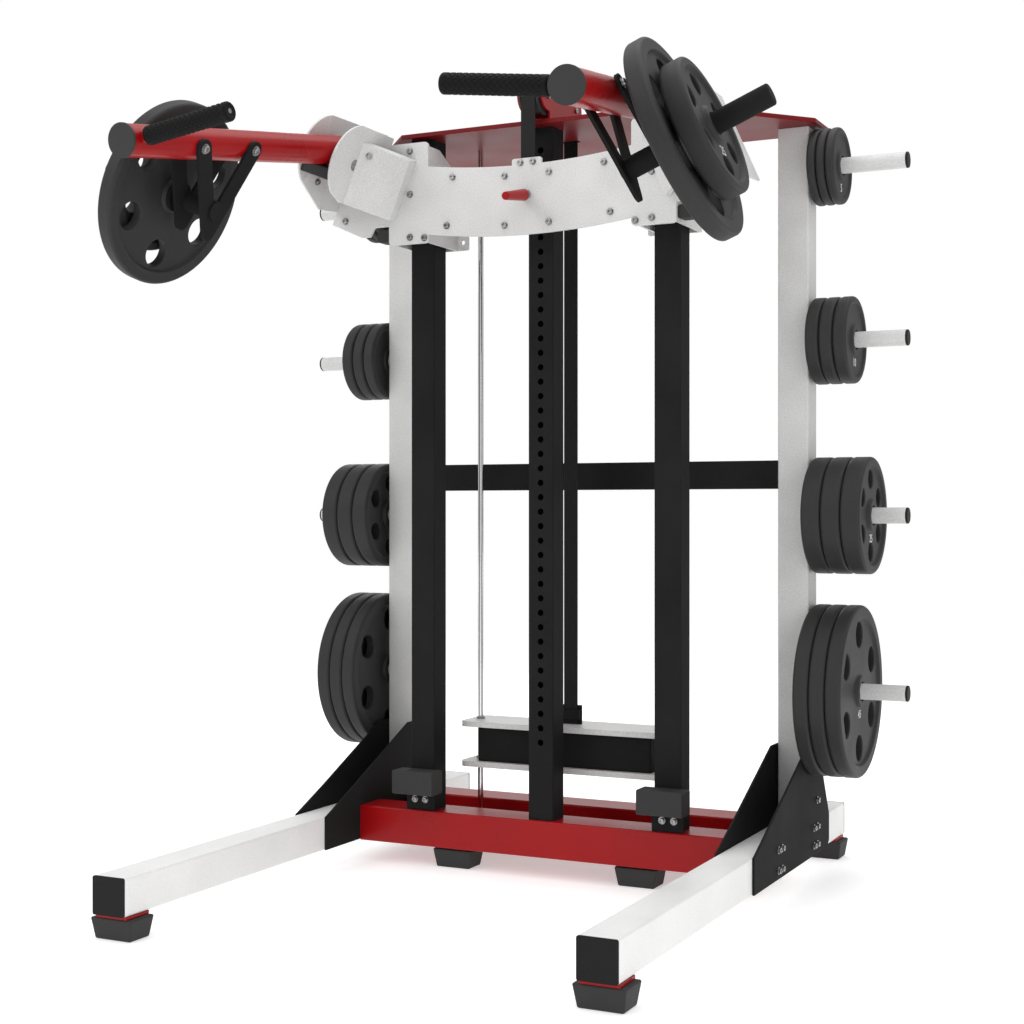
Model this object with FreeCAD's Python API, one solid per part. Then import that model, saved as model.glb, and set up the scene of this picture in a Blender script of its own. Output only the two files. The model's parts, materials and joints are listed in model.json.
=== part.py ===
"""Counterbalanced lever-arm trainer: a carriage with two pressing arms slides on two posts.

Millimetres, +Z up, +X to the user's right when facing the machine, -Y towards the user.
The origin is on the floor, at the centre of the whole machine's footprint.
"""
import FreeCAD, Part
import math
import os

V = FreeCAD.Vector
os.makedirs("parts", exist_ok=True)

# ---------------------------------------------------------------- driving dimensions
WALL = 3.0                      # wall of every square tube
FIT = 0.4                       # running clearance between pieces that slide

RAIL_X = 595.0                  # base rails, to the middle of each
RAIL_SIDE = 88.0
RAIL_FRONT_Y, RAIL_BACK_Y = -812.0, 841.0
FOOT_TOP = 58.0                 # the rails stand this far off the floor
END_CAP = 5.0

UPRIGHT_W, UPRIGHT_D = 84.0, 76.0
UPRIGHT_Y = 531.0
TOP_Z = 1975.0                  # underside of the top plate
TOP_PLATE = 12.0

POST_X, POST_W, POST_D = 355.0, 72.0, 70.0
POST_FRONT_Y = 195.0
POST_Y = POST_FRONT_Y + POST_D / 2
TRAY_TOP, TRAY_BOTTOM = 152.0, 55.0
TRAY_FRONT_Y, BEAM_D = 182.0, 110.0
TRAY_BACK_Y = 553.0
TRAY_HALF = 545.0
FLOOR_Z, FLOOR_T = 116.0, 6.0

HOLE_PITCH, HOLE_R, HOLE_FIRST_Z, HOLE_COUNT = 38.0, 8.5, 356.0, 42
PIN_HOLE = 38                   # the hole that the pull pin faces, counted from the lowest
PIN_Z = HOLE_FIRST_Z + PIN_HOLE * HOLE_PITCH
PIN_DROP = 11.0                 # degrees that the pull pin points down

GUSSET_T = 6.0
PEG_R, PEG_TIP_X, PEG_CAP = 21.0, 891.0, 6.0
PLATE_BORE_R = 25.4
GAP = 0.6                       # between neighbouring weight plates
# name: diameter, thickness, face recess, grip holes, hole radius, hole circle radius, storage height
PLATES = {
    "extra_large": (450.0, 41.0, 8.0, 6, 34.0, 148.0, 495.0),
    "large": (306.0, 51.0, 8.0, 6, 25.0, 95.0, 954.0),
    "medium": (228.0, 36.0, 6.0, 0, 0.0, 0.0, 1413.0),
    "small": (200.0, 24.0, 5.0, 0, 0.0, 0.0, 1871.0),
}
STACK_COUNT = 3

PLATE_FRONT_Y, SHEET = 110.0, 8.0          # carriage front plate
BAND_TOP, BAND_BOTTOM, BAND_R = 1862.0, 1681.0, 2000.0
PAD_IN, PAD_OUT = 291.0, 411.0             # the front plate's pads in front of the posts
PAD_BOTTOM, PAD_TOP = 1680.0, 1950.0
SIDE_T = 6.0
BOX_BACK_Y = 292.0

BELT_W, BELT_T = 40.0, 4.0
BELT_FRONT_Y, BELT_REAR_Y = 120.0, 390.0
PULLEY_R, PULLEY_FLANGE = 44.0, 6.0          # to the belt's inner face, and the flange past it
PULLEY_Z = 2048.0
PULLEY_FRONT_Y = BELT_FRONT_Y + BELT_T / 2 + PULLEY_R
PULLEY_REAR_Y = BELT_REAR_Y - BELT_T / 2 - PULLEY_R

ROD_X, ROD_R = 277.0, 8.0
CW_BOTTOM, CW_SHEET, CW_BOX_H = 258.0, 15.0, 95.0
CW_HALF, CW_DEPTH, CW_BOX_HALF, CW_BOX_DEPTH = 306.0, 150.0, 256.0, 116.0

# each arm is drawn in its own frame: origin on the pivot, X along the pivot, Y back, Z up
ARM_PIVOT = V(483.6, -26.4, 1893.2)
ARM_TILT, ARM_TOE, ARM_PITCH = 22.0, 4.66, 9.06    # degrees
ARM_LENGTH, TUBE_R, TUBE_WALL, TUBE_RISE = 818.4, 37.5, 4.0, 25.0
TUBE_BACK = 30.0
HUB_R, SHAFT_R, CHEEK_IN, CHEEK_T = 34.0, 15.0, 47.0, 6.0
NOSE_R = 105.0
HANDLE_FROM_CAP, HANDLE_R, GRIP_R, GRIP_LENGTH = 35.0, 15.0, 22.0, 236.0
HANDLE_DIR = V(-0.991, -0.069, 0.116)
STRAP_NEAR_Y, STRAP_FAR_Y, STRAP_W, STRAP_T = -591.0, -408.0, 44.0, 8.0
STRAP_TIP_Y, STRAP_TIP_Z = -519.0, -175.0
ARM_PEG_Y, ARM_PEG_Z, ARM_PEG_R, COLLAR_R = -512.0, -124.0, 24.0, 38.0
ARM_PEG_X0, ARM_PEG_X1, ARM_PEG_SEAT = -52.0, 298.0, 77.3
BOLT_R, BOLT_H = 7.0, 6.0

NODES = {}


# ---------------------------------------------------------------- helpers
def add(name, *shapes):
    """Files shapes under a node name, as separate solids."""
    NODES.setdefault(name, []).extend(shapes)


def box(x0, x1, y0, y1, z0, z1):
    return Part.makeBox(x1 - x0, y1 - y0, z1 - z0, V(x0, y0, z0))


def cylinder(r, start, direction, length):
    return Part.makeCylinder(r, length, start, direction)


def mirrored(shape):
    return shape.mirror(V(0, 0, 0), V(1, 0, 0))


def both(name, shape):
    """The same piece on the right and, mirrored, on the left."""
    add(name, shape, mirrored(shape))


def filleted(shape, radius, direction):
    """Rounds the straight edges that run along a direction."""
    edges = []
    for e in shape.Edges:
        d = e.Vertexes[-1].Point - e.Vertexes[0].Point
        if d.Length > 1 and abs(d.normalize().dot(direction)) > 0.999:
            edges.append(e)
    return shape.makeFillet(radius, edges)


def tube(x0, x1, y0, y1, z0, z1, along):
    """A hollow rectangular tube with rounded outer corners, along V(1,0,0), V(0,1,0) or V(0,0,1)."""
    outer = filleted(box(x0, x1, y0, y1, z0, z1), 5.0, along)
    ix, iy, iz = (0 if along.x else WALL), (0 if along.y else WALL), (0 if along.z else WALL)
    return outer.cut(box(x0 + ix, x1 - ix, y0 + iy, y1 - iy, z0 + iz, z1 - iz))


def prism(points, extrude):
    """A closed outline of points, pushed along a vector."""
    wire = Part.makePolygon(points + [points[0]])
    return Part.Face(wire).extrude(extrude)


def bolt(at, direction, r=BOLT_R, height=BOLT_H):
    """A socket head: washer, round head and a hexagon socket, standing on a face."""
    washer = cylinder(r * 1.35, at, direction, 1.5)
    head = cylinder(r, at + direction * 1.5, direction, height)
    head = head.makeChamfer(1.0, [e for e in head.Edges if abs(e.Length - 2 * math.pi * r) < 0.1][:1])
    socket = cylinder(r * 0.5, at + direction * (1.5 + height - 3.0), direction, 4.0)
    return washer.fuse(head).cut(socket)


def capsule(a, b, r, thickness):
    """A flat bar with round ends between two points of a YZ plane, extruded along +X."""
    side = V(0, -(b.z - a.z), b.y - a.y).normalize() * r
    bar = prism([a + side, b + side, b - side, a - side], V(thickness, 0, 0))
    ends = [cylinder(r, p, V(1, 0, 0), thickness) for p in (a, b)]
    return bar.fuse(ends)


# ---------------------------------------------------------------- base
def base():
    z0, z1 = FOOT_TOP, FOOT_TOP + RAIL_SIDE
    half = RAIL_SIDE / 2
    rail = tube(RAIL_X - half, RAIL_X + half, RAIL_FRONT_Y, RAIL_BACK_Y, z0, z1, V(0, 1, 0))
    both("base_rails", rail)
    for y in (RAIL_FRONT_Y - END_CAP, RAIL_BACK_Y):
        cap = box(RAIL_X - half, RAIL_X + half, y, y + END_CAP, z0, z1)
        both("rail_end_caps", filleted(cap, 5.0, V(0, 1, 0)))
    for y in (RAIL_FRONT_Y + 45.0, RAIL_BACK_Y - 45.0):
        both("foot_spacers", box(RAIL_X - 44, RAIL_X + 44, y - 40, y + 40, 50.0, FOOT_TOP))
        both("rubber_feet", foot(RAIL_X, y, 50.0))
    for y in (TRAY_FRONT_Y + BEAM_D / 2, TRAY_BACK_Y - BEAM_D / 2):
        both("foot_spacers", box(266.0 - 55, 266.0 + 55, y - 36, y + 36, 50.0, TRAY_BOTTOM))
        both("rubber_feet", foot(266.0, y, 50.0))


def foot(x, y, height):
    """A rubber block that narrows towards the floor."""
    top, bottom = (58.0, 42.0), (50.0, 34.0)
    wires = []
    for (hx, hy), z in ((bottom, 0.0), (top, height)):
        corners = [V(x - hx, y - hy, z), V(x + hx, y - hy, z), V(x + hx, y + hy, z), V(x - hx, y + hy, z)]
        wires.append(Part.makePolygon(corners + [corners[0]]))
    return Part.makeLoft(wires, True, True)


def tray():
    """Two cross beams and the sunk floor between them, on which the guide rods stand."""
    x = V(1, 0, 0)
    front_back = TRAY_FRONT_Y + BEAM_D
    rear_front = TRAY_BACK_Y - BEAM_D
    for y0, y1 in ((TRAY_FRONT_Y, front_back), (rear_front, TRAY_BACK_Y)):
        add("tray_beams", tube(-TRAY_HALF, TRAY_HALF, y0, y1, TRAY_BOTTOM, TRAY_TOP, x))
    add("tray_floor", box(-TRAY_HALF, TRAY_HALF, front_back, rear_front, FLOOR_Z - FLOOR_T, FLOOR_Z))


def uprights():
    hw, hd = UPRIGHT_W / 2, UPRIGHT_D / 2
    y0, y1 = UPRIGHT_Y - hd, UPRIGHT_Y + hd
    post = tube(RAIL_X - hw, RAIL_X + hw, y0, y1, FOOT_TOP + RAIL_SIDE, TOP_Z, V(0, 0, 1))
    both("uprights", post)
    inner = RAIL_X - hw
    add("cross_member", tube(-inner, inner, UPRIGHT_Y - 35, UPRIGHT_Y + 35, 1025.0, 1100.0, V(1, 0, 0)))
    # triangular side plates that clasp the rail and the upright
    low, rail_top = FOOT_TOP, FOOT_TOP + RAIL_SIDE
    outer_line = [(8, low), (8, rail_top), (150, 209), (452, 350), (569, 350), (610, 250), (664, 147),
                  (664, 75), (650, low)]
    inner_line = [(8, low), (8, rail_top), (150, 209), (452, 350), (569, 350), (569, low)]
    half = RAIL_SIDE / 2
    for line, x in ((outer_line, RAIL_X + half), (inner_line, RAIL_X - half - GUSSET_T)):
        both("gusset_plates", prism([V(x, y, z) for y, z in line], V(GUSSET_T, 0, 0)))
    face = RAIL_X + half + GUSSET_T
    for y, z in ((547, 200), (547, 131), (547, 84), (515, 131), (515, 84), (230, 131), (230, 80),
                 (200, 131), (200, 80)):
        both("frame_bolts", bolt(V(face, y, z), V(1, 0, 0)))


def posts():
    hw = POST_W / 2
    y1 = POST_FRONT_Y + POST_D
    side = tube(POST_X - hw, POST_X + hw, POST_FRONT_Y, y1, TRAY_TOP, TOP_Z, V(0, 0, 1))
    both("guide_posts", side)
    centre = tube(-hw, hw, POST_FRONT_Y, y1, TRAY_TOP, TOP_Z, V(0, 0, 1))
    for i in range(HOLE_COUNT):
        start = V(0, POST_FRONT_Y - 1, HOLE_FIRST_Z + i * HOLE_PITCH)
        centre = centre.cut(cylinder(HOLE_R, start, V(0, 1, 0), WALL + 2))
    add("centre_post", centre)
    # lower stops of the carriage
    front = POST_FRONT_Y
    both("stop_brackets", box(POST_X - 40, POST_X + 46, front - 6, front, TRAY_TOP, 200.0))
    block = filleted(box(POST_X - 62, POST_X + 62, front - 62, front, 200.0, 264.0), 6.0, V(1, 0, 0))
    both("stop_bumpers", filleted(block, 4.0, V(0, 0, 1)))
    for x in (POST_X - 12, POST_X + 20):
        both("frame_bolts", bolt(V(x, front - 6, 181.0), V(0, -1, 0)))


def top():
    outline = [(-665, 598), (-665, 460), (-400, 158), (400, 158), (665, 460), (665, 598)]
    plate = prism([V(x, y, TOP_Z) for x, y in outline], V(0, 0, TOP_PLATE))
    slot = box(-BELT_W / 2 - 5, BELT_W / 2 + 5, BELT_REAR_Y - 12, BELT_REAR_Y + 12, TOP_Z - 1, TOP_Z + TOP_PLATE + 1)
    plate = plate.cut(slot)
    add("top_plate", plate)
    z = TOP_Z + TOP_PLATE
    for x in (POST_X - 20, POST_X + 20):
        both("frame_bolts", bolt(V(x, POST_Y, z), V(0, 0, 1)))
    for x in (RAIL_X - 22, RAIL_X + 22):
        both("frame_bolts", bolt(V(x, UPRIGHT_Y, z), V(0, 0, 1)))
    # pulley bracket: a base and two cheeks with round ends
    cheek_gap, cheek_t = 30.0, 6.0
    bottom = z + 6.0
    bracket = box(-cheek_gap - cheek_t, cheek_gap + cheek_t, 176.0, 346.0, z, bottom)
    for x in (-cheek_gap - cheek_t, cheek_gap):
        ends = [V(x, PULLEY_FRONT_Y, PULLEY_Z), V(x, PULLEY_REAR_Y, PULLEY_Z)]
        cheek = capsule(ends[0], ends[1], 38.0, cheek_t)
        leg = box(x, x + cheek_t, 176.0, 346.0, bottom, PULLEY_Z)
        bracket = bracket.fuse(cheek.fuse(leg))
    for y in (PULLEY_FRONT_Y, PULLEY_REAR_Y):
        bracket = bracket.cut(cylinder(8.0, V(-60, y, PULLEY_Z), V(1, 0, 0), 120.0))
        axle = cylinder(8.0, V(-cheek_gap - cheek_t - 4, y, PULLEY_Z), V(1, 0, 0), 2 * (cheek_gap + cheek_t + 4))
        add("pulley_axles", axle)
    add("pulley_bracket", bracket)


def storage():
    y = UPRIGHT_Y
    face = RAIL_X + UPRIGHT_W / 2
    start = RAIL_X + RAIL_SIDE / 2 + GUSSET_T + GAP
    for name, (_, thickness, *_rest, z) in PLATES.items():
        peg = cylinder(PEG_R, V(face, y, z), V(1, 0, 0), PEG_TIP_X - PEG_CAP - face)
        both("storage_pegs", peg)
        cap = cylinder(PEG_R, V(PEG_TIP_X - PEG_CAP, y, z), V(1, 0, 0), PEG_CAP)
        rim = max(cap.Edges, key=lambda e: e.CenterOfMass.x)
        both("storage_peg_caps", cap.makeFillet(3.0, [rim]))
        for i in range(STACK_COUNT):
            x = start + i * (thickness + GAP)
            plate = weight_plate(name)
            plate.Placement = FreeCAD.Placement(V(x, y, z), FreeCAD.Rotation(V(0, 0, 1), V(1, 0, 0)))
            both(f"{name}_plates", plate)


def weight_plate(name):
    """A disc along +Z from its inner face at Z = 0: rim, sunk faces, hub and grip holes."""
    diameter, thickness, recess, holes, hole_r, circle_r, _ = PLATES[name]
    r, hub_r = diameter / 2, PLATE_BORE_R + 14.0
    rim_in = r * 0.86
    up = V(0, 0, 1)
    disc = cylinder(r, V(0, 0, 0), up, thickness)
    disc = disc.makeFillet(3.0, [e for e in disc.Edges if abs(e.Length - 2 * math.pi * r) < 0.5])
    ring = cylinder(rim_in, V(0, 0, 0), up, recess).cut(cylinder(hub_r, V(0, 0, 0), up, recess))
    top_ring = ring.copy()
    top_ring.translate(V(0, 0, thickness - recess))
    disc = disc.cut(ring).cut(top_ring).cut(cylinder(PLATE_BORE_R, V(0, 0, -1), up, thickness + 2))
    for i in range(holes):
        a = 2 * math.pi * (i + 0.5) / holes
        at = V(circle_r * math.cos(a), circle_r * math.sin(a), -1)
        disc = disc.cut(cylinder(hole_r, at, up, thickness + 2))
    return disc


# ---------------------------------------------------------------- carriage
def band_curve(z_mid):
    """Three points of a large arc in the front plate's plane, lowest at the middle."""
    rise = BAND_R - math.sqrt(BAND_R ** 2 - PAD_IN ** 2)
    y = PLATE_FRONT_Y
    return Part.Arc(V(-PAD_IN, y, z_mid + rise), V(0, y, z_mid), V(PAD_IN, y, z_mid + rise)).toShape()


def carriage():
    y0, y1 = PLATE_FRONT_Y, PLATE_FRONT_Y + SHEET
    upper, lower = band_curve(BAND_TOP), band_curve(BAND_BOTTOM)
    ends = [Part.makeLine(upper.Vertexes[i].Point, lower.Vertexes[i].Point) for i in (0, 1)]
    plate = Part.Face(Part.Wire(Part.__sortEdges__([upper, lower] + ends))).extrude(V(0, SHEET, 0))
    plate = plate.fuse(filleted(box(-42, 42, y0, y1, BAND_TOP - 20, BAND_TOP + 17), 6.0, V(0, 1, 0)))
    for s in (-1, 1):
        lo, hi = sorted((s * PAD_IN, s * PAD_OUT))
        pad = box(lo, hi, y0, y1, PAD_BOTTOM, PAD_TOP)
        plate = plate.fuse(filleted(pad, 12.0, V(0, 1, 0)))
    hole, out = pin_line()
    plate = plate.cut(cylinder(12.0, hole, out, 140.0)).removeSplitter()
    add("carriage_front_plate", plate)

    x_in, x_out = POST_X - POST_W / 2 - 14.0, POST_X + POST_W / 2 + 14.0
    back = BOX_BACK_Y
    side = [V(0, y1, 1684), V(0, back, 1684), V(0, back, 1890), V(0, 190, 1942), V(0, y1, 1942)]
    for x in (x_in - SIDE_T, x_out):
        both("carriage_boxes", prism([p + V(x, 0, 0) for p in side], V(SIDE_T, 0, 0)))
    rear = box(x_in - SIDE_T, x_out + SIDE_T, back, back + SIDE_T, 1684, 1890)
    lug = box(x_in - SIDE_T - 34, x_in - SIDE_T + 1, back, back + SIDE_T, 1684, 1730)
    lug = filleted(lug, 5.0, V(0, 1, 0))
    rear = rear.fuse(lug).cut(cylinder(6.0, V(x_in - SIDE_T - 17, back - 1, 1706), V(0, 1, 0), 10))
    both("carriage_boxes", rear.removeSplitter())

    hw, near, far = POST_W / 2, POST_FRONT_Y - FIT, POST_FRONT_Y + POST_D + FIT
    for z in (1700.0, 1820.0):
        both("carriage_boxes", box(POST_X - 26, POST_X + 26, y1, near - 18, z, z + 60))
        both("glide_pads", box(POST_X - 30, POST_X + 30, near - 18, near, z - 4, z + 64))
        both("glide_pads", box(POST_X - 30, POST_X + 30, far, back, z - 4, z + 64))
        both("glide_pads", box(x_in, POST_X - hw - FIT, POST_FRONT_Y + 8, POST_FRONT_Y + 62, z - 4, z + 64))
        both("glide_pads", box(POST_X + hw + FIT, x_out, POST_FRONT_Y + 8, POST_FRONT_Y + 62, z - 4, z + 64))

    bumper = filleted(box(x_out + SIDE_T, x_out + SIDE_T + 42, y1 + 2, y1 + 42, 1692, 1726), 7.0, V(0, 1, 0))
    both("carriage_bumpers", bumper)
    add("belt_clamp", box(-34, 34, BELT_FRONT_Y + 2, BELT_FRONT_Y + 10, BAND_TOP - 30, BAND_TOP + 14))
    forward = V(0, -1, 0)
    for x, z in ((18, BAND_TOP + 6), (63.5, 1837), (217, 1848), (63.5, 1709), (234, 1721),
                 (346, 1929), (346, 1813), (346, 1698), (302, 1694)):
        both("carriage_bolts", bolt(V(x, y0, z), forward))
    barrel = cylinder(12.0, hole + out * 48.0, out, 68.0)
    add("pin_barrel", barrel.cut(cylinder(8.2, hole, out, 140.0)))


def pin_line():
    """The hole in the centre post that the pull pin enters, and the pin's outward direction."""
    drop = math.radians(PIN_DROP)
    return V(0, POST_FRONT_Y, PIN_Z), V(0, -math.cos(drop), -math.sin(drop))


def pull_pin():
    """Plunger and knob, drawn out of the post's hole; the knob's skirt runs over the barrel."""
    hole, out = pin_line()
    start = hole + out * 4.0
    knob_at = hole + out * 104.0
    rod = cylinder(7.6, start, out, 120.0)
    tip = max(rod.Edges, key=lambda e: e.CenterOfMass.y)
    knob = Part.makeCone(15.5, 10.5, 110.0, knob_at, out)
    nose = min((e for e in knob.Edges if len(e.Vertexes) == 1), key=lambda e: e.CenterOfMass.y)
    knob = knob.makeFillet(3.5, [nose]).cut(cylinder(12.4, knob_at - out, out, 33.0))
    add("pull_pin", rod.makeChamfer(2.0, [tip]).fuse(knob))


# ---------------------------------------------------------------- arms
def arm_frame():
    """Placement of the right arm: local X along its pivot, local Y back along the tube."""
    toe, pitch, tilt = (math.radians(a) for a in (ARM_TOE, ARM_PITCH, ARM_TILT))
    forward = V(math.cos(pitch) * math.sin(toe), -math.cos(pitch) * math.cos(toe), -math.sin(pitch))
    axis = V(math.cos(tilt), 0, math.sin(tilt))
    axis = (axis - forward * axis.dot(forward)).normalize()
    up = axis.cross(forward * -1)
    m = FreeCAD.Matrix(axis.x, -forward.x, up.x, ARM_PIVOT.x,
                       axis.y, -forward.y, up.y, ARM_PIVOT.y,
                       axis.z, -forward.z, up.z, ARM_PIVOT.z, 0, 0, 0, 1)
    return FreeCAD.Placement(m)


ARM = arm_frame()


def placed(shape):
    shape = shape.copy()
    shape.Placement = ARM.multiply(shape.Placement)
    return shape


def arm_node(name, shape):
    add(name + "_right", shape)
    add(name + "_left", mirrored(shape))


def cheek(x, rear):
    """A plate in the arm's plane: a round nose about the pivot, then the rear corners."""
    arc = Part.Arc(V(x, 0, NOSE_R), V(x, -NOSE_R, 0), V(x, -74.0, -74.5)).toShape()
    points = [V(x, -74.0, -74.5)] + [V(x, y, z) for y, z in rear] + [V(x, 0, NOSE_R)]
    edges = [Part.makeLine(points[i], points[i + 1]) for i in range(len(points) - 1)]
    return Part.Face(Part.Wire([arc] + edges)).extrude(V(CHEEK_T, 0, 0))


def housings():
    """Two cheeks hold each arm's pivot shaft; a folded bracket and a plate tie them to the front."""
    clear = box(-900, 900, -900, PLATE_FRONT_Y, 0, 3000)
    shaft_hole = placed(cylinder(SHAFT_R, V(-80, 0, 0), V(1, 0, 0), 160.0))
    inner_rear = [(-30, -101), (0, -104), (300, -104), (300, 48)]
    inner = placed(cheek(-CHEEK_IN - CHEEK_T, inner_rear)).common(clear)
    both("arm_housing_inner_cheeks", inner.cut(shaft_hole))
    outer_rear = [(28, -151), (276, -172), (271, 60)]
    outer = placed(cheek(CHEEK_IN, outer_rear))
    both("arm_housing_outer_cheeks", outer.cut(shaft_hole))

    inside = -CHEEK_IN - CHEEK_T
    wall, lip = 6.0, 40.0
    corners = [V(inside, 13, 61), V(-140, 117, 41), V(-140, 90, -124), V(inside, -14, -104)]
    inset = [corners[0] + V(1, wall, -wall), corners[1] + V(wall, wall, -wall),
             corners[2] + V(wall, wall, wall), corners[3] + V(1, wall, wall)]
    bracket = prism(corners, V(0, lip, 0)).cut(prism(inset, V(0, lip, 0)))
    both("arm_housing_webs", placed(bracket).common(clear))
    plan = [(PAD_OUT, 1732), (456, 1732), (470, 1708), (496, 1708), (591, 1750), (700, 1836),
            (700, 1950), (PAD_OUT, 1950)]
    back = prism([V(x, PLATE_FRONT_Y, z) for x, z in plan], V(0, SHEET, 0))
    both("arm_housing_webs", back.cut(placed(box(CHEEK_IN, 900, -900, 900, -900, 900))))
    shaft = cylinder(SHAFT_R, V(-CHEEK_IN - CHEEK_T, 0, 0), V(1, 0, 0), 2 * (CHEEK_IN + CHEEK_T))
    both("pivot_shafts", placed(shaft))
    face_out = (corners[1] - corners[0]).cross(corners[3] - corners[0]).normalize()
    on_face = corners[0] + (corners[1] - corners[0]) * 0.2 + (corners[3] - corners[0]) * 0.16
    both("carriage_bolts", placed(bolt(on_face, face_out)))
    both("carriage_bolts", placed(bolt(V(CHEEK_IN, -8, -74), V(-1, 0, 0))))
    both("carriage_bolts", bolt(V(548, PLATE_FRONT_Y, 1756), V(0, -1, 0)))
    # the arm rests on this block
    rest_top = TUBE_RISE - TUBE_R - FIT
    rest = filleted(box(-CHEEK_IN, CHEEK_IN, -92, -52, rest_top - 31, rest_top), 4.0, V(1, 0, 0))
    both("carriage_bumpers", placed(rest))


def arms():
    back, x = V(0, 1, 0), V(1, 0, 0)
    front = V(0, -ARM_LENGTH + 4.0, TUBE_RISE)
    length = ARM_LENGTH - 4.0 + TUBE_BACK
    hollow = cylinder(TUBE_R - TUBE_WALL, front, back, length - 100)
    outer = cylinder(TUBE_R, front, back, length)
    hub = cylinder(HUB_R, V(-CHEEK_IN + 1, 0, 0), x, 2 * CHEEK_IN - 2)
    weldment = outer.fuse(hub).cut(hollow)
    weldment = placed(weldment.cut(cylinder(SHAFT_R + 0.05, V(-60, 0, 0), x, 120.0)))
    root = ARM.multVec(V(0, -ARM_LENGTH + HANDLE_FROM_CAP, TUBE_RISE))
    bar = cylinder(HANDLE_R, root + HANDLE_DIR * (TUBE_R - 6), HANDLE_DIR, GRIP_LENGTH + 10.0)
    arm_node("arm_tube", weldment.fuse(bar.cut(placed(hollow))).removeSplitter())
    grip = cylinder(GRIP_R, root + HANDLE_DIR * (TUBE_R + 8.0), HANDLE_DIR, GRIP_LENGTH)
    ends = [e for e in grip.Edges if len(e.Vertexes) == 1]
    arm_node("handle_grip", grip.makeFillet(6.0, ends).cut(bar))
    arm_node("arm_end_cap", placed(cylinder(TUBE_R + 1.5, front, back * -1, 6.0)))
    arm_peg()


def arm_peg():
    """The V straps bolted to the tube, the weight peg they carry and the plates on it."""
    x = V(1, 0, 0)
    near, far = V(0, STRAP_NEAR_Y, TUBE_RISE), V(0, STRAP_FAR_Y, TUBE_RISE)
    apex = V(0, STRAP_TIP_Y, STRAP_TIP_Z)
    peg = cylinder(ARM_PEG_R, V(ARM_PEG_X0, ARM_PEG_Y, ARM_PEG_Z), x, ARM_PEG_X1 - ARM_PEG_X0)
    tip = max(peg.Edges, key=lambda e: e.CenterOfMass.x)
    collar = cylinder(COLLAR_R, V(ARM_PEG_SEAT - 10.0 - GAP, ARM_PEG_Y, ARM_PEG_Z), x, 10.0)
    arm_node("weight_peg", placed(peg.makeFillet(5.0, [tip]).fuse(collar)))
    for side_x in (-TUBE_R - STRAP_T, TUBE_R):
        shift = V(side_x, 0, 0)
        legs = [capsule(p + shift, apex + shift, STRAP_W / 2, STRAP_T) for p in (near, far)]
        strap = legs[0].fuse(legs[1]).removeSplitter().cut(cylinder(ARM_PEG_R + 0.02, V(-90, ARM_PEG_Y, ARM_PEG_Z), x, 200.0))
        arm_node("peg_bracket", placed(strap))
    for p in (near, far):
        arm_node("arm_bolts", placed(bolt(p + V(-TUBE_R - STRAP_T, 0, 0), x * -1, 9.0)))
        arm_node("arm_bolts", placed(bolt(p + V(TUBE_R + STRAP_T, 0, 0), x, 9.0)))
    seat = ARM_PEG_SEAT
    for name in ("extra_large", "large"):
        plate = weight_plate(name)
        plate.Placement = FreeCAD.Placement(V(seat, ARM_PEG_Y, ARM_PEG_Z), FreeCAD.Rotation(V(0, 1, 0), 90))
        arm_node("arm_plates", placed(plate))
        seat += PLATES[name][1] + GAP


# ---------------------------------------------------------------- counterweight and belt
def counterweight():
    y0, y1 = BELT_REAR_Y - CW_DEPTH / 2, BELT_REAR_Y + CW_DEPTH / 2
    box_top = CW_BOTTOM + CW_SHEET + CW_BOX_H
    for z in (CW_BOTTOM, box_top):
        sheet = filleted(box(-CW_HALF, CW_HALF, y0, y1, z, z + CW_SHEET), 24.0, V(0, 0, 1))
        for s in (-1, 1):
            sheet = sheet.cut(cylinder(ROD_R + 4.0, V(s * ROD_X, BELT_REAR_Y, z - 1), V(0, 0, 1), 20))
            bush = cylinder(ROD_R + 4.0, V(s * ROD_X, BELT_REAR_Y, z), V(0, 0, 1), CW_SHEET + 6)
            bush = bush.cut(cylinder(ROD_R + 0.08, V(s * ROD_X, BELT_REAR_Y, z - 1), V(0, 0, 1), 30))
            add("rod_bushes", bush)
        add("counterweight_plates", sheet)
    half = CW_BOX_DEPTH / 2
    block = box(-CW_BOX_HALF, CW_BOX_HALF, BELT_REAR_Y - half, BELT_REAR_Y + half, CW_BOTTOM + CW_SHEET, box_top)
    add("counterweight_block", filleted(block, 4.0, V(0, 0, 1)))
    top = box_top + CW_SHEET
    anchor = box(-30, 30, BELT_REAR_Y + 2, BELT_REAR_Y + 10, top, top + 52)
    add("belt_anchor", anchor, box(-30, 30, BELT_REAR_Y - 10, BELT_REAR_Y - 2, top + 14, top + 40))
    length = TOP_Z - FLOOR_Z
    both("guide_rods", cylinder(ROD_R, V(ROD_X, BELT_REAR_Y, FLOOR_Z), V(0, 0, 1), length))
    return top


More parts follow.
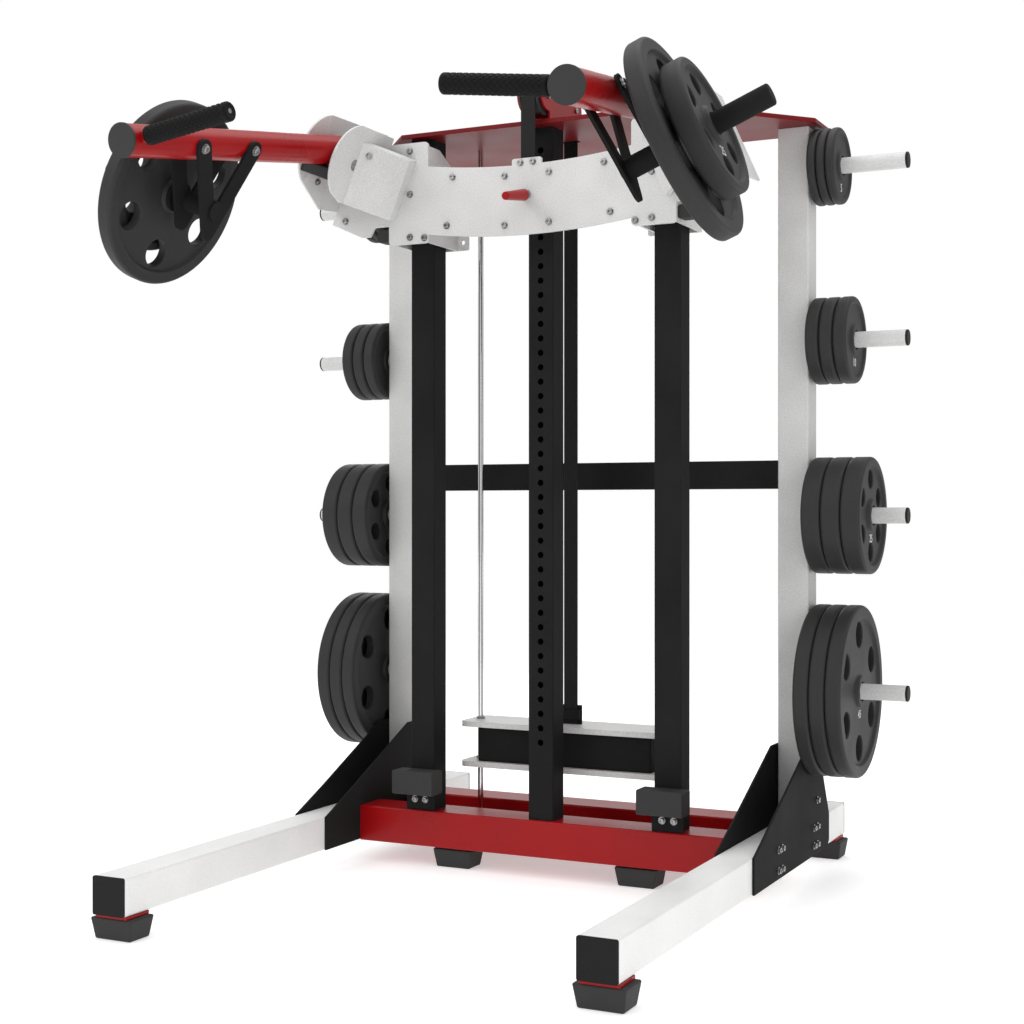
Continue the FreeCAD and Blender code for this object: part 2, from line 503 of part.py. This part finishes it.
def belt(anchor_z):
    h, t = BELT_W / 2, BELT_T / 2
    gap = 0.5
    add("belt_front", box(-h, h, BELT_FRONT_Y - t, BELT_FRONT_Y + t, BAND_TOP - 30, PULLEY_Z - gap))
    add("belt_rear", box(-h, h, BELT_REAR_Y - t, BELT_REAR_Y + t, anchor_z + 2, PULLEY_Z - gap))
    ridge = PULLEY_Z + PULLEY_R + FIT
    over = box(-h, h, PULLEY_FRONT_Y, PULLEY_REAR_Y, ridge, ridge + BELT_T)
    for y, far_side in ((PULLEY_FRONT_Y, -1), (PULLEY_REAR_Y, 1)):
        start = V(-h, y, PULLEY_Z)
        ring = cylinder(PULLEY_R + FIT + BELT_T, start, V(1, 0, 0), BELT_W)
        ring = ring.cut(cylinder(PULLEY_R + FIT, start, V(1, 0, 0), BELT_W))
        lo, hi = sorted((y, y + far_side * 80))
        over = over.fuse(ring.common(box(-h, h, lo, hi, PULLEY_Z, PULLEY_Z + 80)))
    add("belt_top", over.removeSplitter())
    for name, y in (("pulley_front", PULLEY_FRONT_Y), ("pulley_rear", PULLEY_REAR_Y)):
        start = V(-26, y, PULLEY_Z)
        x = V(1, 0, 0)
        wheel = cylinder(PULLEY_R, start, x, 52.0)
        for at in (-26.0, 22.5):
            wheel = wheel.fuse(cylinder(PULLEY_R + PULLEY_FLANGE, V(at, y, PULLEY_Z), x, 3.5))
        wheel = wheel.cut(cylinder(8.05, V(-60, y, PULLEY_Z), x, 120.0))
        add(name, wheel.removeSplitter())


base()
tray()
uprights()
posts()
top()
storage()
carriage()
pull_pin()
housings()
arms()
belt(counterweight())

for name, shapes in NODES.items():
    shape = shapes[0] if len(shapes) == 1 else Part.makeCompound(shapes)
    shape.exportStep(f"parts/{name}.step")
    b = shape.BoundBox
    print(f"{name}: {len(shape.Solids)} solids, valid {shape.isValid()}, "
          f"x {b.XMin:.1f}..{b.XMax:.1f} y {b.YMin:.1f}..{b.YMax:.1f} z {b.ZMin:.1f}..{b.ZMax:.1f}")
print(len(NODES), "nodes")
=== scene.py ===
"""Looks of the counterbalanced lever-arm trainer, in metres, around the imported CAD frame."""
import json
import math

import bmesh
import bpy
from mathutils import Matrix, Vector


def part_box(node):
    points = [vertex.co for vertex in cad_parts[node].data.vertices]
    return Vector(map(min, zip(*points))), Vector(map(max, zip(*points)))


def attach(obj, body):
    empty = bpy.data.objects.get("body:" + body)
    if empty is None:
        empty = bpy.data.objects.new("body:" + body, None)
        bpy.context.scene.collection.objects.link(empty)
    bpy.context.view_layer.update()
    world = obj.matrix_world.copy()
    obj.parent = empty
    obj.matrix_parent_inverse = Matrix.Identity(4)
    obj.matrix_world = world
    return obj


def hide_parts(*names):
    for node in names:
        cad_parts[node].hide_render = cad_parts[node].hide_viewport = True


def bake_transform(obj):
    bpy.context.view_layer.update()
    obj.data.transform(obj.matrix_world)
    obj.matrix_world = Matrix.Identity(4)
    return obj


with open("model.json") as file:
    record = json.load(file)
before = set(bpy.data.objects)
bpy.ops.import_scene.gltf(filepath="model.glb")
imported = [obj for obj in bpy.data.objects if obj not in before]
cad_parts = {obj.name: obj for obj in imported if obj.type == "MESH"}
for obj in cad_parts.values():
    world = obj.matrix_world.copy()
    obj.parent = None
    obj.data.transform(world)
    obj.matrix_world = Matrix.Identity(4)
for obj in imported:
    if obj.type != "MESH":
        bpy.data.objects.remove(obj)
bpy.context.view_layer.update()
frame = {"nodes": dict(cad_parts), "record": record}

NODES = frame["nodes"]
RECORD = frame["record"]
MOUNTS = {m["name"]: m for m in RECORD["mounts"]}
SIDES = {"right": 1, "left": -1}

# ---------------------------------------------------------------- driving dimensions, in metres
CAMERA_AT = (1.84733, -3.73767, 0.96714)
CAMERA_YAW = math.radians(26.15)
CAMERA_LENS, CAMERA_SHIFT_Y = 58.05, -0.0015

GAP = 0.0006                    # between neighbouring weight plates
BORE_R, HUB_WALL = 0.0254, 0.014
RIM_IN = 0.86                   # inner edge of the rim, as a share of the radius
# name: radius, thickness, face recess, grip holes, hole radius, hole circle radius, numeral
PLATES = {
    "extra_large": (0.225, 0.041, 0.008, 6, 0.034, 0.148, "45"),
    "large": (0.153, 0.051, 0.008, 6, 0.025, 0.095, "25"),
    "medium": (0.114, 0.036, 0.006, 0, 0.0, 0.0, "10"),
    "small": (0.100, 0.024, 0.005, 0, 0.0, 0.0, "5"),
}
STACK_COUNT = 3
ARM_STACK = ("extra_large", "large")
PLATE_TURNS, HOLE_TURNS = 128, 40       # segments round a plate and round a grip hole
HOLE_FLARE, HOLE_EDGE_R = 0.0035, 0.0034
FREE_PEG_MARGIN = 0.001         # the free part of an arm's peg starts this far outside the loaded plates
NUMERAL_SIZE, NUMERAL_RISE = 0.030, 0.0004
NUMERAL_CLEAR = 0.55            # from the hub's foot to the numerals' middle, in numeral sizes

GRIP_R, GRIP_LENGTH, GRIP_BORE_R = 0.022, 0.236, 0.0151
GRIP_AXIS = Vector((-0.991, -0.069, 0.116)).normalized()
DIAMONDS_ROUND, DIAMOND_STEPS, DIAMOND_DEPTH = 10, 12, 0.0019
GROOVE_FROM = 0.55              # share of a diamond's half width that stays raised
GRIP_PLAIN_END, GRIP_EDGE_R = 0.012, 0.006
GRIP_SCREW_R, GRIP_CAP_T = 0.0055, 0.003
GRIP_RIM, GRIP_DISH = 0.008, 0.0012     # the outer end's rim, and how far the cap lies below it
CENTRE_R = 0.0001               # a ring this small closes a face at its middle

BELT_RIBS, RIB_STEPS, RIB_DEPTH, BELT_SPANS = 6, 6, 0.0012, 90

FLOOR_SIZE, FLOOR_DROP = 60.0, 0.0005
FLOOR_GLOW = 0.44               # keeps the far floor as pale as the lit floor
ROOM_LIGHT, ROOM_SEEN = 0.66, 1.0       # the room's strength as a light, and as the camera sees it


# ---------------------------------------------------------------- materials
DRIFT_SCALE = 6.0               # features per metre of the slow drift in colour and roughness
FINE_SHARE = 0.6                # how much of the colour follows the fine grain
LUMP_SCALE = 0.28               # features per metre of the second, broader bump, as a share of the grain's


def new_material(name, rough, metallic=0.0):
    """A Principled material, with its node tree and its shader."""
    mat = bpy.data.materials.new(name)
    mat.use_nodes = True
    shader = mat.node_tree.nodes["Principled BSDF"]
    shader.inputs["Roughness"].default_value = rough
    shader.inputs["Metallic"].default_value = metallic
    return mat, mat.node_tree, shader


def noise(tree, scale, detail=3.0, stretch=None):
    """A noise texture, in features per metre, stretched along an axis if asked."""
    coords = tree.nodes.new("ShaderNodeTexCoord")
    tex = tree.nodes.new("ShaderNodeTexNoise")
    tex.inputs["Scale"].default_value = scale
    tex.inputs["Detail"].default_value = detail
    source = coords.outputs["Object"]
    if stretch:
        mapping = tree.nodes.new("ShaderNodeMapping")
        mapping.inputs["Scale"].default_value = stretch
        tree.links.new(source, mapping.inputs["Vector"])
        source = mapping.outputs["Vector"]
    tree.links.new(source, tex.inputs["Vector"])
    return tex.outputs["Fac"]


def ramp(tree, value, low, high, start=0.35, end=0.65):
    """Turns a 0..1 value into a blend of two colours."""
    node = tree.nodes.new("ShaderNodeValToRGB")
    node.color_ramp.elements[0].position = start
    node.color_ramp.elements[0].color = (*low, 1.0)
    node.color_ramp.elements[1].position = end
    node.color_ramp.elements[1].color = (*high, 1.0)
    tree.links.new(value, node.inputs["Fac"])
    return node.outputs["Color"]


def spread(tree, value, low, high):
    """Maps a value's middle range to low..high."""
    node = tree.nodes.new("ShaderNodeMapRange")
    node.inputs["From Min"].default_value = 0.3
    node.inputs["From Max"].default_value = 0.7
    node.inputs["To Min"].default_value = low
    node.inputs["To Max"].default_value = high
    tree.links.new(value, node.inputs["Value"])
    return node.outputs["Result"]


def bumped(tree, shader, heights, strength, distance):
    """Adds bump from the first height, then the next on top of it."""
    normal = None
    for height, share in zip(heights, (1.0, 0.5)):
        bump = tree.nodes.new("ShaderNodeBump")
        bump.inputs["Strength"].default_value = strength * share
        bump.inputs["Distance"].default_value = distance
        tree.links.new(height, bump.inputs["Height"])
        if normal:
            tree.links.new(normal, bump.inputs["Normal"])
        normal = bump.outputs["Normal"]
    tree.links.new(normal, shader.inputs["Normal"])


def coating(name, dark, light, rough, grain, strength, distance, coat, specular):
    """A coated or moulded surface: slow colour drift, fine grain in colour, roughness and bump."""
    mat, tree, shader = new_material(name, rough[0])
    shader.inputs["Specular IOR Level"].default_value = specular
    fine = noise(tree, grain)
    drift = noise(tree, DRIFT_SCALE, detail=2.0)
    drift_part = tree.nodes.new("ShaderNodeMath")
    drift_part.operation = "MULTIPLY"
    drift_part.inputs[1].default_value = 1.0 - FINE_SHARE
    tree.links.new(drift, drift_part.inputs[0])
    mixed = tree.nodes.new("ShaderNodeMath")
    mixed.operation = "MULTIPLY_ADD"
    mixed.inputs[1].default_value = FINE_SHARE
    tree.links.new(fine, mixed.inputs[0])
    tree.links.new(drift_part.outputs[0], mixed.inputs[2])
    tree.links.new(ramp(tree, mixed.outputs[0], dark, light), shader.inputs["Base Color"])
    tree.links.new(spread(tree, drift, *rough), shader.inputs["Roughness"])
    bumped(tree, shader, [fine, noise(tree, grain * LUMP_SCALE)], strength, distance)
    shader.inputs["Coat Weight"].default_value = coat
    shader.inputs["Coat Roughness"].default_value = 0.12
    return mat


def turned_metal(name, dark, light, rough, stretch):
    """Plated or drawn metal: streaks along the piece in roughness and bump."""
    mat, tree, shader = new_material(name, rough[0], 1.0)
    streaks = noise(tree, 40.0, stretch=stretch)
    tree.links.new(ramp(tree, streaks, dark, light), shader.inputs["Base Color"])
    tree.links.new(spread(tree, streaks, *rough), shader.inputs["Roughness"])
    bumped(tree, shader, [streaks], 0.06, 0.0002)
    return mat


def grey(value):
    return (value, value, value)


# name: dark colour, light colour, roughness, grains per metre, bump strength, bump distance, coat, specular
COATINGS = {
    "white_paint": ((0.53, 0.53, 0.525), (0.71, 0.71, 0.705), (0.40, 0.50), 300.0, 0.45, 0.0010, 0.1, 0.5),
    # a paler copy of the white paint for the base rails: painted light, for the stronger light that falls on
    # them
    "white_paint_painted_light": ((0.76, 0.76, 0.755), (0.88, 0.88, 0.875), (0.40, 0.50), 420.0, 0.35, 0.0007, 0.1, 0.5),
    "black_paint": (grey(0.011), grey(0.019), (0.58, 0.70), 900.0, 0.25, 0.0003, 0.0, 0.05),
    "red_paint": ((0.27, 0.003, 0.004), (0.34, 0.004, 0.006), (0.26, 0.34), 700.0, 0.12, 0.0002, 0.03, 0.2),
    # a darker copy of the red paint for the top plate: painted shade, for the shade on its underside
    "red_paint_painted_shade": ((0.13, 0.006, 0.008), (0.18, 0.009, 0.012), (0.34, 0.42), 700.0, 0.12, 0.0002, 0, 0.12),
    "rubber": (grey(0.022), grey(0.036), (0.62, 0.75), 600.0, 0.35, 0.0005, 0.0, 0.3),
    "black_plastic": (grey(0.008), grey(0.014), (0.50, 0.60), 800.0, 0.25, 0.0003, 0.0, 0.15),
    "grey_plastic": (grey(0.028), grey(0.040), (0.50, 0.60), 800.0, 0.25, 0.0003, 0.0, 0.25),
    "plate_rubber": (grey(0.020), grey(0.032), (0.48, 0.60), 420.0, 0.30, 0.0006, 0.0, 0.25),
    "grip_rubber": (grey(0.004), grey(0.008), (0.55, 0.66), 900.0, 0.30, 0.0003, 0.0, 0.12),
    "belt": (grey(0.005), grey(0.009), (0.55, 0.68), 700.0, 0.25, 0.0003, 0.0, 0.25),
    "nylon": (grey(0.018), grey(0.026), (0.35, 0.45), 500.0, 0.15, 0.0003, 0.0, 0.5),
    "numeral": (grey(0.62), grey(0.72), (0.50, 0.60), 700.0, 0.15, 0.0002, 0.0, 0.5),
    "floor": (grey(0.82), grey(0.86), (0.85, 0.95), 60.0, 0.03, 0.0004, 0.0, 0.1),
}
# name: dark colour, light colour, roughness, stretch of the streaks
METALS = {
    "bright_steel": (grey(0.26), grey(0.44), (0.24, 0.36), (1, 1, 14)),
    "chrome": (grey(0.66), grey(0.74), (0.06, 0.12), (14, 14, 0.4)),
}
MATERIALS = {name: coating(name, *look) for name, look in COATINGS.items()}
MATERIALS |= {name: turned_metal(name, *look) for name, look in METALS.items()}
SLOT_OF = {s["node"]: s["material_slot"] for s in RECORD["subparts"]}
# paler white on the rails is painted light; darker red on the top plate is painted shade
PAINTED_LIGHT_AND_SHADE = {"base_rails": "white_paint_painted_light", "top_plate": "red_paint_painted_shade"}      # instead of the slot's own


def finish_cad_nodes():
    """Every CAD node takes the material of its slot, except the rails, whose paler white is painted light,
    and the top plate, whose darker red is painted shade.
    """
    for name, obj in NODES.items():
        obj.data.materials.clear()
        obj.data.materials.append(MATERIALS[PAINTED_LIGHT_AND_SHADE.get(name, SLOT_OF[name])])


# ---------------------------------------------------------------- mesh helpers
def mesh_from(bm, name, *slots):
    """A mesh with outward normals and the named materials."""
    bmesh.ops.recalc_face_normals(bm, faces=bm.faces)
    mesh = bpy.data.meshes.new(name)
    bm.to_mesh(mesh)
    bm.free()
    for slot in slots:
        mesh.materials.append(MATERIALS[slot])
    return mesh


def object_from(mesh, name, place=Matrix()):
    obj = bpy.data.objects.new(name, mesh)
    obj.matrix_world = place
    bpy.context.scene.collection.objects.link(obj)
    return obj


def smoothed(mesh, degrees=32.0):
    """Smooth shading, with edges sharper than an angle left sharp."""
    mesh.shade_smooth()
    mesh.set_sharp_from_angle(angle=math.radians(degrees))
    return mesh


def rounded(corners, steps=6):
    """An outline of (x, y, radius) corners, closed, with each corner turned into an arc."""
    points = []
    for i, (x, y, r) in enumerate(corners):
        here = Vector((x, y))
        if r == 0:
            points.append(here)
            continue
        before = (Vector(corners[i - 1][:2]) - here).normalized()
        after = (Vector(corners[(i + 1) % len(corners)][:2]) - here).normalized()
        half = before.angle(after) / 2
        centre = here + (before + after).normalized() * (r / math.sin(half))
        first = here + before * (r / math.tan(half)) - centre
        last = here + after * (r / math.tan(half)) - centre
        for s in range(steps + 1):
            points.append(centre + first.normalized().slerp(last.normalized(), s / steps) * r)
    return points


def ring(bm, radii, z, centre=Vector()):
    """One vertex for each radius, evenly spaced round a vertical axis."""
    angles = [2 * math.pi * i / len(radii) for i in range(len(radii))]
    around = [Vector((r * math.cos(a), r * math.sin(a), z)) for r, a in zip(radii, angles)]
    return [bm.verts.new(centre + point) for point in around]


def skin(bm, rings, capped=True):
    """Quads from each ring to the next and, if capped, a face over each end."""
    for lower, upper in zip(rings, rings[1:]):
        for i in range(len(lower)):
            j = (i + 1) % len(lower)
            bm.faces.new((lower[i], lower[j], upper[j], upper[i]))
    if capped:
        bm.faces.new(rings[0])
        bm.faces.new(rings[-1])


def lathe(outline, turns):
    """A closed outline of (radius, height) points, turned about Z."""
    bm = bmesh.new()
    sections = []
    for i in range(turns):
        angle = 2 * math.pi * i / turns
        sections.append([bm.verts.new((r * math.cos(angle), r * math.sin(angle), z)) for r, z in outline])
    skin(bm, sections + sections[:1], capped=False)
    return bm


def facing(axis):
    """Rotation that takes +Z to an axis and keeps +X as level as it can be."""
    z = Vector(axis).normalized()
    x = Vector((0, 0, 1)).cross(z).normalized()
    return Matrix((x, z.cross(x), z)).transposed().to_4x4()


# ---------------------------------------------------------------- weight plates
def grip_hole_cutters(recess, thickness, holes, hole_r, circle_r):
    """One mesh of round cutters, each flared where it meets the sunk faces."""
    wide, past = hole_r + HOLE_FLARE, 0.002
    outline = rounded([(wide, -past, 0), (wide, recess, 0), (hole_r, recess, HOLE_EDGE_R),
                       (hole_r, thickness - recess, HOLE_EDGE_R), (wide, thickness - recess, 0),
                       (wide, thickness + past, 0)], steps=5)
    bm = bmesh.new()
    for h in range(holes):
        at = 2 * math.pi * (h + 0.5) / holes
        centre = Vector((circle_r * math.cos(at), circle_r * math.sin(at), 0))
        skin(bm, [ring(bm, [r] * HOLE_TURNS, z, centre) for r, z in outline])
    return bm


def numeral_mesh(text, radius, height):
    """Thin raised numerals that lie on a face, a radius below the plate's centre."""
    curve = bpy.data.curves.new("numeral", "FONT")
    curve.body = text
    curve.size = NUMERAL_SIZE
    curve.align_x, curve.align_y = "CENTER", "CENTER"
    curve.extrude = NUMERAL_RISE
    curve.resolution_u = 3
    text_obj = object_from(curve, "numeral")
    bpy.context.view_layer.update()
    mesh = bpy.data.meshes.new_from_object(text_obj.evaluated_get(bpy.context.evaluated_depsgraph_get()))
    bpy.data.objects.remove(text_obj)
    mesh.transform(Matrix.Translation((0, -radius, height)))
    return mesh


def plate_mesh(kind):
    """A rubber plate along +Z from its inner face: round rim, sunk faces, hub, grip holes, numerals."""
    radius, thick, recess, holes, hole_r, circle_r, numeral = PLATES[kind]
    hub, rim = BORE_R + HUB_WALL, radius * RIM_IN
    slope = recess * 0.6
    # radius, height and edge round, from the bore out to the tread
    half = [(BORE_R, 0, 0.0015), (hub, 0, 0.003), (hub + slope, recess, 0.003),
            (rim - slope, recess, 0.004), (rim, 0, 0.004), (radius, 0, 0.009)]
    other = [(r, thick - z, f) for r, z, f in reversed(half)]
    mesh = mesh_from(lathe(rounded(half + other), PLATE_TURNS), kind + "_plate", "plate_rubber", "numeral")
    if holes:
        cylinders = mesh_from(grip_hole_cutters(recess, thick, holes, hole_r, circle_r), "cutter")
        cutter = object_from(cylinders, "cutter")
        disc = object_from(mesh, "disc")
        cut = disc.modifiers.new("holes", "BOOLEAN")
        cut.operation = "DIFFERENCE"
        cut.solver = "EXACT"
        cut.object = cutter
        bpy.context.view_layer.update()
        mesh = bpy.data.meshes.new_from_object(disc.evaluated_get(bpy.context.evaluated_depsgraph_get()))
        bpy.data.objects.remove(disc)
        bpy.data.objects.remove(cutter)
    smoothed(mesh)
    numerals = numeral_mesh(numeral, hub + slope + NUMERAL_SIZE * NUMERAL_CLEAR, thick - recess)
    bm = bmesh.new()
    bm.from_mesh(mesh)
    body_faces = len(bm.faces)
    bm.from_mesh(numerals)
    bm.faces.ensure_lookup_table()
    for face in bm.faces[body_faces:]:
        face.material_index = 1
    bm.to_mesh(mesh)
    bm.free()
    mesh.name = kind + "_plate"
    return mesh


def weight_plates():
    """The stored stacks on the uprights and the two loaded plates on each arm."""
    meshes = {kind: plate_mesh(kind) for kind in PLATES}
    for kind, (_, thick, *_rest) in PLATES.items():
        node = kind + "_plates"
        low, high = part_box(node)
        middle_y, middle_z = (low[1] + high[1]) / 2, (low[2] + high[2]) / 2
        for side, s in SIDES.items():
            for i in range(STACK_COUNT):
                inner = high[0] - thick - i * (thick + GAP)
                place = Matrix.Translation((s * inner, middle_y, middle_z)) @ facing((s, 0, 0))
                piece = object_from(meshes[kind], f"{kind}_plate_{side}_{STACK_COUNT - i}", place)
                rest_plate(piece, node, "frame")
    for side in SIDES:
        mount = MOUNTS["weight_peg_" + side]
        axis = Vector(mount["axis"])
        outer = Vector(mount["pos_m"]) - axis * (mount["dims"]["length_mm"] / 2000 + FREE_PEG_MARGIN)
        body = "arm_plates_" + side
        for kind in reversed(ARM_STACK):
            outer -= axis * PLATES[kind][1]
            place = Matrix.Translation(outer) @ facing(axis)
            rest_plate(object_from(meshes[kind], f"{kind}_plate_on_{side}_arm", place), body, body)
            outer -= axis * GAP


def rest_plate(piece, node, body):
    """Evens out a plate's shading, and puts it in its node's place on a body."""
    even = piece.modifiers.new("even_normals", "WEIGHTED_NORMAL")
    even.keep_sharp = True
    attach(piece, body)
    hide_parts(node)


# ---------------------------------------------------------------- handle grips
def grip_mesh():
    """A rubber sleeve along +Z, centred, with raised diamonds between plain rounded ends."""
    around = DIAMONDS_ROUND * DIAMOND_STEPS
    pitch = 2 * math.pi * GRIP_R / DIAMONDS_ROUND
    rows = int(GRIP_LENGTH / pitch * DIAMOND_STEPS)
    half = GRIP_LENGTH / 2
    # the bore stops short of the outer end, which a dished cap with a screw closes
    bore = [(CENTRE_R, half - GRIP_CAP_T), (GRIP_BORE_R, half - GRIP_CAP_T), (GRIP_BORE_R, -half)]
    dish = [(GRIP_R - GRIP_RIM, half - GRIP_DISH), (GRIP_SCREW_R + 0.002, half - GRIP_DISH),
            (GRIP_SCREW_R, half - 0.0008), (GRIP_SCREW_R / 2, half - 0.0006), (CENTRE_R, half - 0.0005)]
    bm = bmesh.new()
    rings = [ring(bm, [r] * around, z) for r, z in bore]
    for row in range(rows + 1):
        z = GRIP_LENGTH * row / rows - half
        edge = half - abs(z)
        into_round = max(0.0, GRIP_EDGE_R - edge)
        reach = GRIP_R - GRIP_EDGE_R + math.sqrt(max(0.0, GRIP_EDGE_R ** 2 - into_round ** 2))
        deep = DIAMOND_DEPTH if edge > GRIP_PLAIN_END else 0.0
        turns = [DIAMONDS_ROUND * i / around for i in range(around)]
        rings.append(ring(bm, [reach - deep * diamond(turn, z / pitch) for turn in turns], z))
    rings += [ring(bm, [r] * around, z) for r, z in dish]
    skin(bm, rings)
    for face in bm.faces:
        middle = face.calc_center_median()
        if middle.z > half - GRIP_DISH and math.hypot(middle.x, middle.y) < GRIP_SCREW_R:
            face.material_index = 1
    return smoothed(mesh_from(bm, "knurled_grip", "grip_rubber", "bright_steel"), 60.0)


def diamond(u, v):
    """0 on the raised faces of a diamond pattern and 1 in the grooves between them."""
    groove = 0.0
    for along in (u + v, u - v):
        groove = max(groove, abs((along % 1.0) - 0.5) * 2)
    return max(0.0, (groove - GROOVE_FROM) / (1 - GROOVE_FROM))


def grips():
    """Both grips, each on its arm and in place of the plain CAD sleeve."""
    mesh = grip_mesh()
    for side, s in SIDES.items():
        node = "handle_grip_" + side
        low, high = (Vector(p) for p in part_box(node))
        axis = Vector((s * GRIP_AXIS.x, GRIP_AXIS.y, GRIP_AXIS.z))
        place = Matrix.Translation((low + high) / 2) @ facing(axis)
        piece = object_from(mesh, "knurled_grip_" + side, place)
        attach(piece, "arm_" + side)
        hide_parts(node)


# ---------------------------------------------------------------- belts
def belt_section(low, high):
    """Points across the belt's ribbed side: how far over, and how high a rib stands there."""
    width = high[0] - low[0]
    across = []
    steps = BELT_RIBS * RIB_STEPS
    for i in range(steps + 1):
        x = low[0] + width * i / steps
        across.append((x, RIB_DEPTH * (0.5 - 0.5 * math.cos(2 * math.pi * BELT_RIBS * i / steps))))
    return across


def belt_mesh(low, high, ribs_to):
    """A straight belt with ribs along it; ribs_to is the side, +1 or -1 in Y, that meets the pulley."""
    across = belt_section(low, high)
    flat_y, rib_y = (low[1], high[1]) if ribs_to > 0 else (high[1], low[1])
    outline = [(x, rib_y - ribs_to * (RIB_DEPTH - rise)) for x, rise in across]
    outline += [(high[0], flat_y), (low[0], flat_y)]
    bm = bmesh.new()
    rings = []
    for i in range(BELT_SPANS + 1):
        z = low[2] + (high[2] - low[2]) * i / BELT_SPANS
        rings.append([bm.verts.new((x, y, z)) for x, y in outline])
    skin(bm, rings)
    return smoothed(mesh_from(bm, "belt", "belt"), 50.0)


def belts():
    """The two hanging stretches, built in place of the CAD belts, which hang from the frame above to a
    sliding body below.
    """
    for node, body, ribs_to in (("belt_front", "carriage", 1), ("belt_rear", "counterweight", -1)):
        low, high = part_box(node)
        piece = object_from(belt_mesh(low, high, ribs_to), "ribbed_" + node)
        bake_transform(piece)
        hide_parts(node)


# ---------------------------------------------------------------- edges of the sheet metal
WELD_WITHIN, SHARP_OVER = 0.00002, 50           # metres, degrees


def soften_edges():
    """A small round on the cut edges of plates and blocks, so that they catch the light."""
    widths = {
        "gusset_plates": 0.0012, "carriage_front_plate": 0.0012, "top_plate": 0.0015,
        "carriage_boxes": 0.001, "arm_housing_inner_cheeks": 0.0012, "arm_housing_outer_cheeks": 0.0012,
        "arm_housing_webs": 0.001, "counterweight_plates": 0.0015, "rubber_feet": 0.004,
        "foot_spacers": 0.0012, "stop_brackets": 0.0012, "pulley_bracket": 0.0012, "rail_end_caps": 0.002,
        "arm_end_cap_right": 0.0018, "arm_end_cap_left": 0.0018, "glide_pads": 0.001,
    }
    for name, width in widths.items():
        obj = NODES[name]
        weld = obj.modifiers.new("weld", "WELD")
        weld.merge_threshold = WELD_WITHIN
        bevel = obj.modifiers.new("edges", "BEVEL")
        bevel.width = width
        bevel.segments = 2
        bevel.limit_method = "ANGLE"
        bevel.angle_limit = math.radians(SHARP_OVER)
        bevel.harden_normals = True


# ---------------------------------------------------------------- room, lights and camera
def room():
    """A pale floor and an even white room, which lights less than it shows."""
    bm = bmesh.new()
    bmesh.ops.create_grid(bm, x_segments=1, y_segments=1, size=FLOOR_SIZE / 2)
    mesh = bpy.data.meshes.new("floor")
    bm.to_mesh(mesh)
    bm.free()
    paper = MATERIALS["floor"]
    shader = paper.node_tree.nodes["Principled BSDF"]
    shader.inputs["Emission Color"].default_value = (1.0, 1.0, 1.0, 1.0)
    shader.inputs["Emission Strength"].default_value = FLOOR_GLOW
    mesh.materials.append(paper)
    floor = object_from(mesh, "floor", Matrix.Translation((0, 0, -FLOOR_DROP)))
    world = bpy.data.worlds.new("studio")
    world.use_nodes = True
    tree = world.node_tree
    background = tree.nodes["Background"]
    background.inputs["Color"].default_value = (1.0, 1.0, 1.0, 1.0)
    background.inputs["Strength"].default_value = ROOM_LIGHT
    seen = tree.nodes.new("ShaderNodeBackground")
    seen.inputs["Color"].default_value = (1.0, 1.0, 1.0, 1.0)
    seen.inputs["Strength"].default_value = ROOM_SEEN
    ray = tree.nodes.new("ShaderNodeLightPath")
    mix = tree.nodes.new("ShaderNodeMixShader")
    tree.links.new(ray.outputs["Is Camera Ray"], mix.inputs["Fac"])
    tree.links.new(background.outputs["Background"], mix.inputs[1])
    tree.links.new(seen.outputs["Background"], mix.inputs[2])
    tree.links.new(mix.outputs["Shader"], tree.nodes["World Output"].inputs["Surface"])
    bpy.context.scene.world = world
    bpy.context.scene.view_settings.view_transform = "Standard"


def area_light(name, at, aim, size, power):
    light = bpy.data.lights.new(name, "AREA")
    light.shape = "RECTANGLE"
    light.size, light.size_y = size
    light.energy = power
    obj = bpy.data.objects.new(name, light)
    obj.matrix_world = Matrix.Translation(at) @ facing(Vector(at) - Vector(aim))
    bpy.context.scene.collection.objects.link(obj)


def lights():
    middle = (0, 0, 1.1)
    # name: place, size, power
    lamps = {
        "key": ((-3.0, -4.2, 4.6), (3.0, 3.0), 75.0),
        "fill": ((4.5, -3.0, 2.2), (3.0, 3.0), 30.0),
        "overhead": ((0.3, 0.2, 5.2), (5.0, 5.0), 110.0),
        "back": ((-2.6, 4.6, 3.2), (3.0, 2.0), 50.0),
    }
    for name, (at, size, power) in lamps.items():
        area_light(name, at, middle, size, power)


def camera():
    data = bpy.data.cameras.new("camera")
    data.lens = CAMERA_LENS
    data.sensor_width = 36.0
    data.shift_y = CAMERA_SHIFT_Y
    obj = bpy.data.objects.new("camera", data)
    obj.location = CAMERA_AT
    obj.rotation_euler = (math.pi / 2, 0, CAMERA_YAW)
    bpy.context.scene.collection.objects.link(obj)
    bpy.context.scene.camera = obj


camera()
room()
lights()
finish_cad_nodes()
soften_edges()
weight_plates()
grips()
belts()
